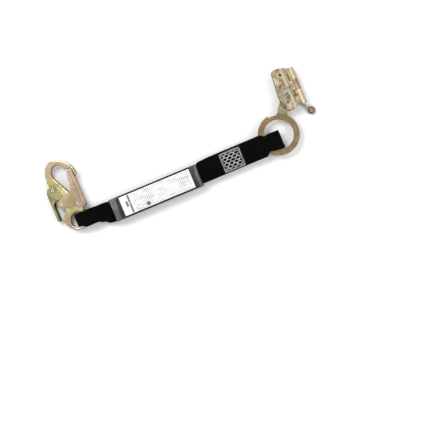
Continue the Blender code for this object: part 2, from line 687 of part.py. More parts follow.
def hook_gate():
    flank = mm((-129.6, 34), (-129.6, 99.5), (-133, 103), (-139, 103.3), (-141, 98), (-143, 88), (-143.5, 80),
               (-146, 70), (-151, 64.5), (-165, 61), (-181, 56.5), (-182, 52), (-181, 46), (-177, 41.5),
               (-168, 40), (-158, 38), (-152, 35), (-147, 31), (-140, 29.5), (-132, 30))
    spine = mm((-131.6, 33), (-129.5, 33), (-129.5, 99), (-131.6, 102))
    cuts = [circle(GATE_PIVOT, HOOK_RIVET_R + GAP), circle(GATE_TAIL, 1.8 * MM + GAP)]
    return folded("hook_gate", flank, spine, cuts)


def lock_lever():
    flank = mm((-190.5, 83), (-187, 86), (-173.5, 86), (-165.3, 63), (-181.5, 58.3), (-187, 55.5),
               (-188.6, 50), (-188.6, 22), (-191.5, 20), (-192.2, 24))
    spine = mm((-190.7, 82), (-192.9, 78), (-192.9, 22), (-190.9, 20.5))
    return folded("lock_lever", flank[::-1], spine, [circle(LEVER_PIVOT, HOOK_RIVET_R + GAP)])


def hook_rivet(name, centre, shank, head):
    top = FLANK_OUT + GAP
    profile = [(0, top + 0.5 * MM), (1.0 * MM, top + 0.5 * MM), (1.3 * MM, top + 1.3 * MM),
               (head - 0.8 * MM, top + 1.3 * MM), (head, top + 0.6 * MM), (head, top), (shank, top)]
    profile += [(r, -z) for r, z in reversed(profile)]
    return turned(name, (*centre, HOOK_Z), profile)


def side_spring(name, start_x, end_x, y, radius, turns):
    """A compression spring lying along X at the hook's middle."""
    line = coil((start_x, y, HOOK_Z), (end_x, y, HOOK_Z), radius, turns, 10)
    return wire(name, line, 0.4 * MM)


def make_lanyard():
    pieces = {}
    for maker, finish in ((ring_loop_webbing, "webbing"), (ring_strap_webbing, "webbing"),
                          (box_stitch, "thread"),
                          (absorber_core, "webbing"), (pack_cover, "film"), (label, "label"),
                          (hook_strap_webbing, "webbing"), (hook_loop_webbing, "webbing")):
        pieces[maker.__name__] = maker()
        paint(pieces[maker.__name__], finish)
    return pieces


def make_hook():
    pieces = {
        "hook_body": (hook_body(), "zinc"),
        "hook_gate": (hook_gate(), "zinc"),
        "lock_lever": (lock_lever(), "zinc_olive"),
        "gate_rivet": (hook_rivet("gate_rivet", GATE_PIVOT, HOOK_RIVET_R, 4.0 * MM), "rivet"),
        "lever_rivet": (hook_rivet("lever_rivet", LEVER_PIVOT, HOOK_RIVET_R, 4.0 * MM), "rivet"),
        "gate_tail_pin": (hook_rivet("gate_tail_pin", GATE_TAIL, 1.8 * MM, 3.6 * MM), "rivet"),
        "gate_spring": (side_spring("gate_spring", -148.6 * MM, -132.4 * MM, 51 * MM, 2.4 * MM, 5), "spring"),
        "lever_spring": (side_spring("lever_spring", -190.2 * MM, -185.2 * MM, 70 * MM, 2.2 * MM, 3),
                         "spring"),
    }
    for obj, finish in pieces.values():
        paint(obj, finish)
    return {name: obj for name, (obj, finish) in pieces.items()}


def take(pieces, *names):
    return [pieces.pop(name) for name in names]


def main():
    global PARTS, CUTTERS
    clear_scene()
    PARTS = new_collection("rope_grab")
    CUTTERS = new_collection("cutters")
    CUTTERS.hide_render = True
    grab, strap, hook = make_grab(), make_lanyard(), make_hook()

    moving = {
        "sleeve": take(grab, "rope_sleeve"),
        "latch": take(grab, "latch_strap"),
        "plunger": take(grab, "plunger_stem", "plunger_knob", "knob_cross_pin", "plunger_spring"),
        "cam": take(grab, "cam_lever", "ring_rivet", "front_washer", "back_washer"),
        "ring": take(grab, "connector_ring"),
    }
    housing = body("housing", (*CAM_AXIS, GRAB_Z), grab.values())
    body("sleeve", (BARREL_X, SLEEVE_Y[0], BACK_BARREL_Z), moving["sleeve"], housing)
    body("latch", (BARREL_X, WINDOW_Y[0], FRONT_BARREL_Z), moving["latch"], housing)
    body("plunger", (*KNOB, PLUNGER_Z), moving["plunger"], housing)
    cam = body("cam", (*CAM_AXIS, GRAB_Z), moving["cam"], housing)
    ring = body("ring", (*RING_PIVOT, GRAB_Z), moving["ring"], cam)

    ring_loop = body("ring_loop", (*RING_CENTRE, GRAB_Z), take(strap, "ring_loop_webbing"), ring)
    hook_loop_piece = take(strap, "hook_loop_webbing")
    pack = body("pack", (RING_FLEX_X, 0, GRAB_Z), strap.values(), ring_loop)
    hook_loop = body("hook_loop", (HOOK_FLEX_X, 0, PACK_MID), hook_loop_piece, pack)

    gate = body("gate", (*GATE_PIVOT, HOOK_Z), take(hook, "hook_gate", "gate_tail_pin"))
    lever = body("lever", (*LEVER_PIVOT, HOOK_Z), take(hook, "lock_lever"))
    hook_frame = body("hook", (*EYE, HOOK_Z), hook.values(), hook_loop)
    for empty in (gate, lever):
        empty.parent = hook_frame
        empty.matrix_parent_inverse = hook_frame.matrix_world.inverted()
    hook_frame.rotation_euler = (0, -HOOK_TILT, 0)
    bpy.context.view_layer.update()


main()
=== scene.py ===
"""The looks of the rope grab and its lanyard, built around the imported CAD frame. Metres, +Z up."""

import math

import bpy
import bmesh
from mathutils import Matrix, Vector


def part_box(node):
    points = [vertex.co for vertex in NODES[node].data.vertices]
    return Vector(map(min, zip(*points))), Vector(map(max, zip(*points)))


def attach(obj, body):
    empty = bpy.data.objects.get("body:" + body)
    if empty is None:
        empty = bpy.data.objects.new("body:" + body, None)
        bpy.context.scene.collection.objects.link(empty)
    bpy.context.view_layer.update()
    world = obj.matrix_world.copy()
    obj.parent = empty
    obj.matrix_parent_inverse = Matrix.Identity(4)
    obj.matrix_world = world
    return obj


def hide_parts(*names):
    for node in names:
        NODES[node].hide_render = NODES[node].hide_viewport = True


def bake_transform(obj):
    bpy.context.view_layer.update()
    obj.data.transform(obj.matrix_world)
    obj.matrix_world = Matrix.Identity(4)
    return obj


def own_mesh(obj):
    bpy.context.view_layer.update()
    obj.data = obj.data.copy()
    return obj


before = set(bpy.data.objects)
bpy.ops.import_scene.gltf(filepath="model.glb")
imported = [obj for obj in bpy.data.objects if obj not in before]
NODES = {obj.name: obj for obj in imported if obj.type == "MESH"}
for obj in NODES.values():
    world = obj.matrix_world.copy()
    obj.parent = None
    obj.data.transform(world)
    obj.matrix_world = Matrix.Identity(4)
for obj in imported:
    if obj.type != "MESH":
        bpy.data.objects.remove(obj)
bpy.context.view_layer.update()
MM = 0.001

# Camera: straight down, rolled so that the lanyard rises to the right
CAMERA_ROLL = math.radians(-22.6)
CAMERA_AIM = (0.0894, -0.0876)
CAMERA_HEIGHT = 2.0
CAMERA_WIDTH = 0.8265

# Hinge lines of the webbing and the middle heights of its two straps
RING_MID = 0.0147
PACK_MID = 0.012
WEB_THICK = 2.4 * MM
PACK_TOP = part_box("pack_cover")[1][2]

# Film and label
FILM_GAP = 0.45 * MM
FILM_WALL = 0.5 * MM
FILM_HALF_WIDTH = 21.7 * MM
FILM_HALF_LENGTH = 89.7 * MM
FILM_TIGHT = 73 * MM
LABEL_INSET = 1.1 * MM
LABEL_THICK = 0.3 * MM


# ---------------------------------------------------------------- material tools

class Nodes:
    """A short way to write a material's nodes."""

    def __init__(self, name):
        self.material = bpy.data.materials.new(name)
        self.material.use_nodes = True
        self.tree = self.material.node_tree
        self.shader = self.tree.nodes["Principled BSDF"]
        self.place = self.add("ShaderNodeTexCoord").outputs["Object"]

    def add(self, kind, **settings):
        node = self.tree.nodes.new(kind)
        for key, value in settings.items():
            setattr(node, key, value)
        return node

    def link(self, source, target):
        self.tree.links.new(source, target)

    def fill(self, socket, value):
        """Sets a socket to a value, or links it to another socket."""
        if isinstance(value, bpy.types.NodeSocket):
            self.link(value, socket)
        elif isinstance(value, tuple) and len(value) == 3 and socket.type == "RGBA":
            socket.default_value = (*value, 1)
        else:
            socket.default_value = value

    def set(self, **values):
        for name, value in values.items():
            self.fill(self.shader.inputs[name.replace("_", " ")], value)

    def stretched(self, scale):
        mapping = self.add("ShaderNodeMapping")
        mapping.inputs["Scale"].default_value = scale
        self.link(self.place, mapping.inputs["Vector"])
        return mapping.outputs["Vector"]

    def noise(self, scale, detail=3.0, place=None):
        node = self.add("ShaderNodeTexNoise")
        node.inputs["Scale"].default_value = scale
        node.inputs["Detail"].default_value = detail
        self.link(place or self.place, node.inputs["Vector"])
        return node.outputs["Fac"]

    def wave(self, scale, direction="X"):
        node = self.add("ShaderNodeTexWave", bands_direction=direction)
        node.inputs["Scale"].default_value = scale
        node.inputs["Distortion"].default_value = 0.0
        self.link(self.place, node.inputs["Vector"])
        return node.outputs["Fac"]

    def ramp(self, factor, *stops):
        """Colours or values by a factor: stops are (position, colour)."""
        node = self.add("ShaderNodeValToRGB")
        ramp = node.color_ramp
        while len(ramp.elements) < len(stops):
            ramp.elements.new(0.5)
        for element, (position, colour) in zip(ramp.elements, stops):
            element.position = position
            colour = (colour,) * 3 if isinstance(colour, float) else colour
            element.color = (*colour, 1)
        self.link(factor, node.inputs["Fac"])
        return node.outputs["Color"]

    def math(self, operation, a, b=0.0):
        node = self.add("ShaderNodeMath", operation=operation)
        self.fill(node.inputs[0], a)
        self.fill(node.inputs[1], b)
        return node.outputs["Value"]

    def mix(self, factor, a, b):
        node = self.add("ShaderNodeMix", data_type="RGBA")
        self.fill(node.inputs["Factor"], factor)
        self.fill(node.inputs[6], a)
        self.fill(node.inputs[7], b)
        return node.outputs[2]

    def edge(self):
        """Near 1 on worn outer edges and near 0 elsewhere."""
        pointiness = self.add("ShaderNodeNewGeometry").outputs["Pointiness"]
        return self.ramp(pointiness, (0.50, 0.0), (0.56, 1.0))

    def bump(self, height, distance, strength=0.5, onto=None):
        node = self.add("ShaderNodeBump")
        node.inputs["Distance"].default_value = distance
        node.inputs["Strength"].default_value = strength
        self.fill(node.inputs["Height"], height)
        if onto:
            self.link(onto, node.inputs["Normal"])
        return node.outputs["Normal"]

    def separate(self):
        node = self.add("ShaderNodeSeparateXYZ")
        self.link(self.place, node.inputs["Vector"])
        return node.outputs


def band(nodes, value, low, high, soft=0.0004):
    """1 between low and high, with soft ends."""
    def rise(at, sign):
        node = nodes.add("ShaderNodeMapRange")
        nodes.fill(node.inputs["Value"], value)
        node.inputs["From Min"].default_value = at - sign * soft
        node.inputs["From Max"].default_value = at + sign * soft
        return node.outputs["Result"]
    return nodes.math("MULTIPLY", rise(low, 1), rise(high, -1))


def sides(nodes, low=0.45, high=0.88):
    """1 on a piece's steep walls and 0 on the faces that lie flat: the mask for painted shade on those walls.
    """
    upright = nodes.add("ShaderNodeSeparateXYZ")
    nodes.link(nodes.add("ShaderNodeTexCoord").outputs["Normal"], upright.inputs["Vector"])
    return nodes.ramp(nodes.math("ABSOLUTE", upright.outputs["Z"]), (low, 1.0), (high, 0.0))


# Colours that more than one material takes
# The cream colour is a painted highlight and the near-black one painted shade; the pink is the hook's own
# tint, and a painted reflection on the gate.
PAINTED_HIGHLIGHT = (1.0, 0.88, 0.62)
PINK = (0.64, 0.42, 0.31)
PAINTED_SHADE = (0.04, 0.028, 0.015)


def zinc(name, base, bright, patch, roughness=0.30, scale=70.0, shade=0.85, tint=None, dots=0.6,
         walls=(0.45, 0.9), worn=0.25, inner=0, marks=()):
    """Yellow zinc plate: cloudy colour, rolling grain, small pits, painted shade on steep walls and worn
    edges.

    tint is a second colour and the stretches of Y it covers. inner is the sign of Z that the inside face
    looks to;
    that face is painted near black as painted shade between the plates. marks are stripes along Y, as (low X,
    high X, colour, amount): painted highlights and painted shade lines, which don't move with the light.
    """
    n = Nodes(name)
    coarse = n.math("MULTIPLY", n.noise(scale, 4.0), 0.65)
    cloud = n.math("ADD", coarse, n.math("MULTIPLY", n.noise(scale * 3), 0.35))
    colour = n.ramp(cloud, (0.42, patch), (0.49, base), (0.57, bright))
    x, y = n.separate()[:2]
    if tint:
        second, *stretches = tint
        ragged = n.math("ADD", y, n.math("MULTIPLY", n.noise(30.0), 0.03))
        for low, high in stretches:
            cover = band(n, ragged, low + 0.015, high + 0.015, 0.012)
            colour = n.mix(n.math("MULTIPLY", cover, 0.85), colour, second)
    metal = 0.92
    # Painted light: the cream stripes are painted highlights and the dark ones painted shade, which also take
    # away the metal
    for low, high, stripe, amount in marks:
        cover = n.math("MULTIPLY", band(n, x, low, high), amount)
        colour = n.mix(cover, colour, stripe)
        if stripe == PAINTED_SHADE:
            metal = n.math("MULTIPLY", metal, n.math("SUBTRACT", 1.0, cover))
    grain = n.noise(700.0, 2.0, n.stretched((1.0, 0.15, 1.0)))
    colour = n.mix(n.math("MULTIPLY", grain, 0.35), colour, tuple(c * 0.45 for c in base))
    # Painted shade: steep walls darkened towards a tenth of the base colour
    colour = n.mix(n.math("MULTIPLY", sides(n, *walls), shade), colour, tuple(c * 0.10 for c in base))
    # Painted shade: the face looking inward, between the plates, is painted near black
    if inner:
        face = n.add("ShaderNodeSeparateXYZ")
        n.link(n.add("ShaderNodeTexCoord").outputs["Normal"], face.inputs["Vector"])
        painted_dark = n.ramp(n.math("MULTIPLY", face.outputs["Z"], float(inner)), (0.2, 0.0), (0.5, 0.93))
        colour = n.mix(painted_dark, colour, (0.012, 0.009, 0.005))
    colour = n.mix(n.math("MULTIPLY", n.edge(), worn), colour, tuple(min(1.0, c * 1.2) for c in bright))
    speckle = n.ramp(n.noise(1100.0, 1.0), (0.32, 1.0), (0.37, 0.0))
    colour = n.mix(n.math("MULTIPLY", speckle, dots), colour, tuple(c * 0.2 for c in base))
    n.set(Base_Color=colour, Metallic=metal,
          Roughness=n.math("ADD", n.math("MULTIPLY", n.noise(260.0), 0.26), roughness - 0.10))
    pits = n.bump(n.noise(900.0, 3.0), 0.00008, 0.35)
    n.set(Normal=n.bump(n.noise(60.0, 2.0), 0.0008, 0.35, pits))
    return n.material


def turned_part(name, node, dark, light, rings, roughness=0.25):
    """A turned head seen end on. rings are dark bands of painted shade in hollows and at rims, and of painted
    reflection at the knob's centre: (inner radius, outer radius) in mm.
    """
    n = Nodes(name)
    low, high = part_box(node)
    centre = NODES[node].matrix_world.inverted() @ Vector(((low[0] + high[0]) / 2, (low[1] + high[1]) / 2, 0))
    x, y = n.separate()[:2]
    dx, dy = n.math("SUBTRACT", x, centre.x), n.math("SUBTRACT", y, centre.y)
    radius = n.math("SQRT", n.math("ADD", n.math("MULTIPLY", dx, dx), n.math("MULTIPLY", dy, dy)))
    # Painted shade in hollow centres and at rims, and a painted reflection at the knob's centre; these bands
    # lose their metal
    painted_dark = None
    for inner, outer in rings:
        ring = band(n, radius, inner * MM, outer * MM, 0.00025)
        painted_dark = n.math("MAXIMUM", painted_dark, ring) if painted_dark else ring
    scratches = n.noise(900.0, 2.0)
    colour = n.mix(n.math("MULTIPLY", scratches, 0.4), light, tuple(c * 0.5 for c in light))
    colour = n.mix(n.math("MULTIPLY", painted_dark, 0.92), colour, dark)
    # Painted shade: steep walls darkened
    colour = n.mix(n.math("MULTIPLY", sides(n), 0.6), colour, tuple(c * 0.5 for c in dark))
    n.set(Base_Color=colour, Metallic=n.math("SUBTRACT", 1.0, painted_dark),
          Roughness=n.math("ADD", n.math("MULTIPLY", n.noise(400.0), 0.2), roughness - 0.08))
    n.set(Normal=n.bump(scratches, 0.00006, 0.3))
    return n.material


def steel(name, base, roughness=0.24, dark=0.35):
    """Bright pins and spring wire, with drawn lines, darker in the hollows."""
    n = Nodes(name)
    lines = n.noise(1300.0, 2.0, n.stretched((1.0, 1.0, 0.1)))
    hollow = n.ramp(n.add("ShaderNodeNewGeometry").outputs["Pointiness"], (0.44, 1.0), (0.50, 0.0))
    colour = n.mix(n.math("MULTIPLY", lines, 0.3), base, tuple(c * 0.6 for c in base))
    colour = n.mix(n.math("MULTIPLY", hollow, 0.8), colour, tuple(c * dark * 0.3 for c in base))
    n.set(Base_Color=colour, Metallic=1.0,
          Roughness=n.math("ADD", n.math("MULTIPLY", n.noise(400.0), 0.2), roughness - 0.08))
    n.set(Normal=n.bump(lines, 0.00005, 0.3))
    return n.material


def webbing(name):
    """Black woven webbing: ribs along it, crossing picks and a little lint."""
    n = Nodes(name)
    ribs = n.wave(330.0, "Y")
    picks = n.wave(270.0, "X")
    weave = n.math("MULTIPLY", ribs, picks)
    lint = n.ramp(n.noise(520.0, 3.0, n.stretched((0.4, 1.6, 1.0))), (0.66, 0.0), (0.80, 1.0))
    colour = n.mix(weave, (0.0008, 0.0006, 0.0008), (0.0045, 0.0036, 0.0042))
    colour = n.mix(n.math("MULTIPLY", lint, 0.06), colour, (0.05, 0.05, 0.055))
    n.set(Base_Color=colour, Roughness=0.85)
    n.shader.inputs["Sheen Weight"].default_value = 0.01
    n.shader.inputs["Specular IOR Level"].default_value = 0.06
    n.set(Normal=n.bump(weave, 0.0004, 0.8, n.bump(n.noise(70.0, 2.0), 0.0015, 0.25)))
    return n.material


def film(name):
    """Clear heat-shrunk film over black webbing: dark and glossy, a little greyer at the ends, with painted
    highlights in light grey on the creases there and painted shade along its sides.
    """
    n = Nodes(name)
    x = n.separate()[0]
    ends = n.math("MAXIMUM", band(n, x, -0.0880, -0.078, 0.003), band(n, x, 0.0820, 0.0880, 0.002))
    haze = n.math("MAXIMUM", band(n, x, -0.0900, -0.069, 0.001), band(n, x, 0.0730, 0.0900, 0.001))
    crease = n.noise(140.0, 4.0, n.stretched((2.2, 0.25, 0.6)))
    # Painted highlight: the creases at the ends lightened to grey
    crease_highlight = n.ramp(crease, (0.35, 0.15), (0.62, 1.0))
    fade = n.ramp(n.noise(45.0, 3.0), (0.3, 0.35), (0.7, 1.0))
    amount = n.math("MULTIPLY", n.math("MULTIPLY", ends, crease_highlight), fade)
    colour = n.mix(n.math("MULTIPLY", haze, fade), (0.004, 0.004, 0.004), (0.055, 0.055, 0.056))
    colour = n.mix(amount, colour, (0.27, 0.27, 0.27))
    # Painted shade: the film's steep sides darkened near black
    colour = n.mix(n.math("MULTIPLY", sides(n), 0.8), colour, (0.003, 0.003, 0.003))
    n.set(Base_Color=colour, Roughness=n.math("ADD", n.math("MULTIPLY", amount, 0.15), 0.16))
    n.shader.inputs["Coat Weight"].default_value = 0.06
    n.shader.inputs["Coat Roughness"].default_value = 0.08
    n.shader.inputs["Specular IOR Level"].default_value = 0.15
    n.set(Normal=n.bump(crease, 0.0012, 0.55, n.bump(n.noise(35.0, 2.0), 0.003, 0.3)))
    return n.material


def printed_label(name):
    """White label: a heading bar, a round mark and rows of faint generic marks that spell nothing."""
    n = Nodes(name)
    x, y = n.separate()[:2]
    bar = n.math("MULTIPLY", band(n, x, -0.0545, -0.0505), band(n, y, -0.0175, 0.0175))
    broken = n.ramp(n.noise(520.0, 1.0, n.stretched((0.3, 1.0, 1.0))), (0.36, 0.25), (0.44, 1.0))
    bar = n.math("MULTIPLY", bar, broken)
    block = n.math("MULTIPLY", band(n, x, -0.0605, -0.0562), band(n, y, -0.004, 0.007))
    distance = n.add("ShaderNodeVectorMath", operation="DISTANCE")
    n.link(n.place, distance.inputs[0])
    distance.inputs[1].default_value = (-0.020, -0.0125, PACK_TOP + 0.0009)
    disc = band(n, distance.outputs["Value"], -0.01, 0.0042, 0.0003)
    columns = n.ramp(n.wave(95.0, "X"), (0.45, 0.0), (0.60, 1.0))
    words = n.ramp(n.noise(900.0, 2.0, n.stretched((0.05, 1.0, 1.0))), (0.44, 0.0), (0.52, 1.0))
    patches = n.ramp(n.noise(60.0, 2.0), (0.35, 0.45), (0.55, 1.0))
    field = n.math("MULTIPLY", band(n, x, -0.046, 0.071), band(n, y, -0.018, 0.0175))
    text = n.math("MULTIPLY", n.math("MULTIPLY", columns, words), n.math("MULTIPLY", patches, field))
    colour = n.mix(n.math("MULTIPLY", text, 0.85), (0.86, 0.86, 0.86), (0.14, 0.14, 0.15))
    dark = n.math("MAXIMUM", n.math("MAXIMUM", bar, block), disc)
    colour = n.mix(n.math("MULTIPLY", dark, 0.85), colour, (0.05, 0.05, 0.055))
    n.set(Base_Color=colour, Roughness=n.math("ADD", n.math("MULTIPLY", n.noise(80.0), 0.12), 0.22))
    n.shader.inputs["Coat Weight"].default_value = 0.35
    n.set(Normal=n.bump(n.noise(38.0, 2.0), 0.0012, 0.25))
    return n.material


def thread(name):
    """Heavy off-white bonded thread with a visible twist."""
    n = Nodes(name)
    twist = n.wave(900.0, "DIAGONAL")
    colour = n.mix(twist, (0.45, 0.45, 0.44), (0.88, 0.88, 0.87))
    worn = n.ramp(n.noise(120.0), (0.42, 0.0), (0.62, 1.0))
    colour = n.mix(n.math("MULTIPLY", worn, 0.6), colour, (0.20, 0.20, 0.20))
    n.set(Base_Color=colour, Roughness=0.7)
    n.shader.inputs["Sheen Weight"].default_value = 0.1
    n.set(Normal=n.bump(twist, 0.0002, 0.6))
    return n.material


def floor_material():
    n = Nodes("pale_floor")
    n.set(Base_Color=n.mix(n.noise(3.0), (0.97, 0.97, 0.97), (0.99, 0.99, 0.99)), Roughness=0.6)
    return n.material


# Painted light on the plates and the sleeve, as stripes along Y: cream painted highlights and dark painted
# shade lines
PLATE_PAINTED_LIGHT = ((0.3045, 0.3124, PAINTED_HIGHLIGHT, 0.9), (0.3127, 0.3142, PAINTED_SHADE, 0.85))
SLEEVE_PAINTED_LIGHT = ((0.3222, 0.3276, PAINTED_HIGHLIGHT, 0.9), (0.3286, 0.3340, PAINTED_SHADE, 0.9), (0.3195, 0.3204, PAINTED_SHADE, 0.5))
GOLD = zinc("zinc_gold", (0.60, 0.42, 0.24), (1.0, 0.80, 0.54), (0.22, 0.18, 0.05), walls=(0.03, 0.2),
            inner=-1, marks=PLATE_PAINTED_LIGHT)
REAR_GOLD = zinc("zinc_gold_rear", (0.58, 0.40, 0.22), (0.92, 0.70, 0.45), (0.30, 0.25, 0.08), inner=1)
# The gate's marks: a dark painted shade line along its fold and a pink painted reflection beside it
BLUSH = zinc("zinc_blush", (0.50, 0.35, 0.24), (0.66, 0.49, 0.35), (0.42, 0.37, 0.14), scale=38.0, dots=0.3,
             marks=((-0.1372, -0.1358, PAINTED_SHADE, 0.75), (-0.1335, -0.1305, PINK, 0.6)))
STRAW = zinc("zinc_straw", (0.60, 0.46, 0.22), (0.80, 0.64, 0.36), (0.44, 0.35, 0.14), dots=0.3,
             walls=(0.1, 0.3), marks=SLEEVE_PAINTED_LIGHT)
FORGED = zinc("zinc_forged", (0.72, 0.64, 0.27), (0.88, 0.82, 0.46), (0.56, 0.46, 0.20), 0.24, 38.0, 0.9,
              tint=(PINK, (0.104, 0.150), (-0.02, 0.022)), dots=0.0, worn=0.0, walls=(0.5, 0.97))
OLIVE = zinc("zinc_olive", (0.37, 0.36, 0.16), (0.50, 0.48, 0.24), (0.26, 0.24, 0.10))
BROWN = zinc("zinc_brown", (0.34, 0.235, 0.125), (0.42, 0.30, 0.16), (0.27, 0.22, 0.09), 0.36)
RIVET = steel("bright_rivet", (0.80, 0.74, 0.66))
WIRE = steel("spring_wire", (0.55, 0.53, 0.50), 0.3)
WEBBING = webbing("black_webbing")
FILM = film("clear_film")
LABEL = printed_label("generic_label")
THREAD = thread("white_thread")


# ---------------------------------------------------------------- metal

# Each plated or steel node: its material, and how far its edges are rounded in mm
METAL = {
    "front_plate": (GOLD, 0.9), "back_plate": (REAR_GOLD, 0.9), "plunger_guide": (GOLD, 0.4),
    "rope_sleeve": (STRAW, 0.8), "latch_strap": (BLUSH, 0.8), "cam_lever": (OLIVE, 0.9),
    "front_washer": (GOLD, 0.1), "back_washer": (GOLD, 0.1), "connector_ring": (BROWN, 1.3),
    "plunger_stem": (WIRE, 0.2), "hook_gate": (BLUSH, 0.85), "lock_lever": (OLIVE, 0.85),
    "hinge_pin": (RIVET, 0.2), "latch_pin": (RIVET, 0.2), "knob_cross_pin": (RIVET, 0.12),
    "gate_tail_pin": (RIVET, 0.15), "cam_spring": (WIRE, 0), "plunger_spring": (WIRE, 0),
}
SILVER = (0.82, 0.76, 0.70)
TAN = (0.74, 0.54, 0.36)
DARK_BROWN = (0.03, 0.014, 0.008)
# Dark bands in mm: painted shade in the hollow or dimpled centre and at the rim
HOLLOW = [(-1.0, 2.5), (3.8, 5.0)]
DIMPLE = [(-1.0, 1.1), (3.0, 4.5)]
# Each turned head: its metal, its dark bands of painted shade (at the knob's centre a painted reflection),
# and how far its edges are rounded in mm
HEADS = {
    "upper_spacer_rivet": (SILVER, HOLLOW, 0.15), "lower_spacer_rivet": (SILVER, HOLLOW, 0.15),
    "cam_axle_rivet": (SILVER, HOLLOW, 0.15), "spring_anchor_screw": (SILVER, DIMPLE, 0.2),
    "ring_rivet": (SILVER, DIMPLE, 0.12), "gate_rivet": (SILVER, DIMPLE, 0.15),
    "lever_rivet": (SILVER, DIMPLE, 0.15), "plunger_knob": (TAN, [(-1.0, 0.9), (4.0, 6.0)], 0.3),
}


def dress(obj, material):
    obj.data.materials.clear()
    obj.data.materials.append(material)


def finish_metal(node, material, edge_mm):
    """Gives a CAD node its metal and rounds its edges."""
    obj = NODES[node]
    dress(obj, material)
    if edge_mm:
        weld = obj.modifiers.new("Weld", "WELD")
        weld.merge_threshold = 1e-5
        bevel = obj.modifiers.new("Edges", "BEVEL")
        bevel.width = edge_mm * MM
        bevel.segments = 3
        bevel.limit_method = "ANGLE"
        bevel.angle_limit = math.radians(38)
        bevel.use_clamp_overlap = True
        bevel.harden_normals = False


def round_off(node, material, grain, passes):
    """Makes a forged piece from its CAD solid: the same shape with soft, rounded edges."""
    obj = NODES[node]
    dress(obj, material)
    grid = obj.modifiers.new("Grid", "REMESH")
    grid.mode = "VOXEL"
    grid.voxel_size = grain
    grid.use_smooth_shade = True
    soft = obj.modifiers.new("Soft", "SMOOTH")
    soft.factor = 0.5
    soft.iterations = passes


for node_name, (metal, edge) in METAL.items():
    finish_metal(node_name, metal, edge)
for node_name, (metal, rings, edge) in HEADS.items():
    finish_metal(node_name, turned_part(node_name + "_metal", node_name, DARK_BROWN, metal, rings), edge)
round_off("hook_body", FORGED, 0.6 * MM, 36)


# ---------------------------------------------------------------- springs that a joint presses

def pressed_spring(node):
    """A copy of a spring in spring wire, with its own mesh, carried by the hook in place of the CAD spring.
    """
    cad = NODES[node]
    spring = bpy.data.objects.new(node + "_coil", cad.data.copy())
    bpy.context.scene.collection.objects.link(spring)
    spring.data.transform(cad.matrix_world)
    dress(spring, WIRE)
    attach(spring, "hook")
    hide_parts(node)
    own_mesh(spring)


pressed_spring("gate_spring")
pressed_spring("lever_spring")


# ---------------------------------------------------------------- webbing

def between(value, stops):
    """A value read from (position, value) stops, smoothly."""
    if value <= stops[0][0]:
        return stops[0][1]
    for (a, low), (b, high) in zip(stops, stops[1:]):
        if value <= b:
            t = (value - a) / (b - a)
            return low + (high - low) * t * t * (3 - 2 * t)
    return stops[-1][1]


def resampled(points, step):
    """Points a step apart along a smooth line through the given ones."""
    ends = [points[0], *points, points[-1]]
    fine = []
    for i in range(1, len(ends) - 2):
        p0, p1, p2, p3 = (Vector(p) for p in ends[i - 1:i + 3])
        for k in range(20):
            t = k / 20
            fine.append(0.5 * (2 * p1 + (p2 - p0) * t + (2 * p0 - 5 * p1 + 4 * p2 - p3) * t * t
                               + (3 * p1 - p0 - 3 * p2 + p3) * t ** 3))
    fine.append(Vector(points[-1]))
    line, gone = [fine[0]], 0.0
    for a, b in zip(fine, fine[1:]):
        gone += (b - a).length
        if gone >= step:
            line.append(b)
            gone = 0.0
    return line


def strap(name, path, low_edge, high_edge, thickness, across=14):
    """A strip of webbing along a path in X and Z, between two edges given by X, with rounded selvedges."""
    mesh = bpy.data.meshes.new(name)
    work = bmesh.new()
    line = resampled(path, 1.6 * MM)
    rows = []
    for i, point in enumerate(line):
        before, after = line[max(0, i - 1)], line[min(len(line) - 1, i + 1)]
        along = (after - before).normalized()
        normal = Vector((-along.y, along.x))
        low, high = between(point.x, low_edge), between(point.x, high_edge)
        row = []
        for side in (1, -1):
            for k in range(across + 1):
                t = k / across if side > 0 else 1 - k / across
                rim = min(t, 1 - t) * (high - low)
                half = thickness / 2 * min(1.0, 0.45 + rim / (1.4 * MM))
                puff = 0.12 * MM * math.sin(point.x * 900 + 40 * t)
                place = point + normal * side * (half + (puff if rim > 1 * MM else 0))
                row.append(work.verts.new((place.x, low + (high - low) * t, place.y)))
        rows.append(row)
    for a, b in zip(rows, rows[1:]):
        for k in range(len(a)):
            j = (k + 1) % len(a)
            work.faces.new((a[k], a[j], b[j], b[k]))
    work.faces.new(rows[0][::-1])
    work.faces.new(rows[-1])
    bmesh.ops.recalc_face_normals(work, faces=work.faces)
    work.to_mesh(mesh)
    work.free()
    mesh.shade_smooth()
    mesh.set_sharp_from_angle(angle=math.radians(50))
    obj = bpy.data.objects.new(name, mesh)
    bpy.context.scene.collection.objects.link(obj)
    dress(obj, WEBBING)
    return obj


def mm_path(middle, *points):
    return [(x * MM, middle + z * MM) for x, z in points]


def mm_stops(*stops):
    return [(x * MM, y * MM) for x, y in stops]


ring_path = mm_path(RING_MID, (76, -1.4), (120, -1.35), (186, -1.4), (197, -1.9), (208, -4.0), (217, -4.4),
                    (240, -4.4), (251, -4.4), (256.2, -3.7), (258.8, 0), (256.2, 3.7), (251, 4.4), (240, 4.4),
                    (217, 4.4), (208, 4.0), (197, 1.9), (186, 1.4), (120, 1.35), (76, 1.4))
ring_low = mm_stops((86, -18), (222, -17.6), (231, -10.8), (240, -12.8), (252, -14.3))
ring_high = mm_stops((89, 20.3), (94, 24.2), (120, 25.6), (222, 25.9), (231, 20.5), (240, 22.2), (250, 21.9))
ring_web = strap("ring_side_webbing", ring_path, ring_low, ring_high, WEB_THICK)
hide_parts("ring_strap_webbing", "ring_loop_webbing")
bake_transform(ring_web)

